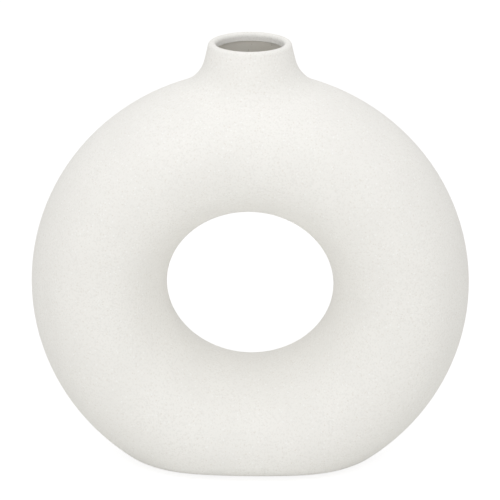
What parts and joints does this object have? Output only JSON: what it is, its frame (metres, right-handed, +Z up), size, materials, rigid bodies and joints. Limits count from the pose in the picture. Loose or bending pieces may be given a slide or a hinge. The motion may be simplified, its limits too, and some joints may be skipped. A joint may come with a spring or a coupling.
{
  "type": "donut vase",
  "caption": "Free-standing ring-shaped stoneware vase with a short flared neck, a sandy matt white coat, a glazed hollow inside and a flat foot on small pads.",
  "frame": {"origin": "on the surface that the vase stands on, under the middle of its ring", "axes": "+Z up through the neck, +Y from front to back along the axis of the ring's hole, +X to the right across the ring"},
  "size_m": [0.2, 0.08, 0.1973],
  "materials": {
    "bare_stoneware": "matt, unglazed",
    "sand_coat": "matt, fine sandy grain with faint darker specks",
    "clear_glaze": "gloss",
    "pad_rubber": "satin"
  },
  "bodies": {
    "root": {"stoneware_body": "bare_stoneware", "outer_coat": "sand_coat", "inner_glaze": "clear_glaze", "foot_pad_front_left": "pad_rubber", "foot_pad_front_right": "pad_rubber", "foot_pad_back_left": "pad_rubber", "foot_pad_back_right": "pad_rubber"}
  },
  "joints": []
}
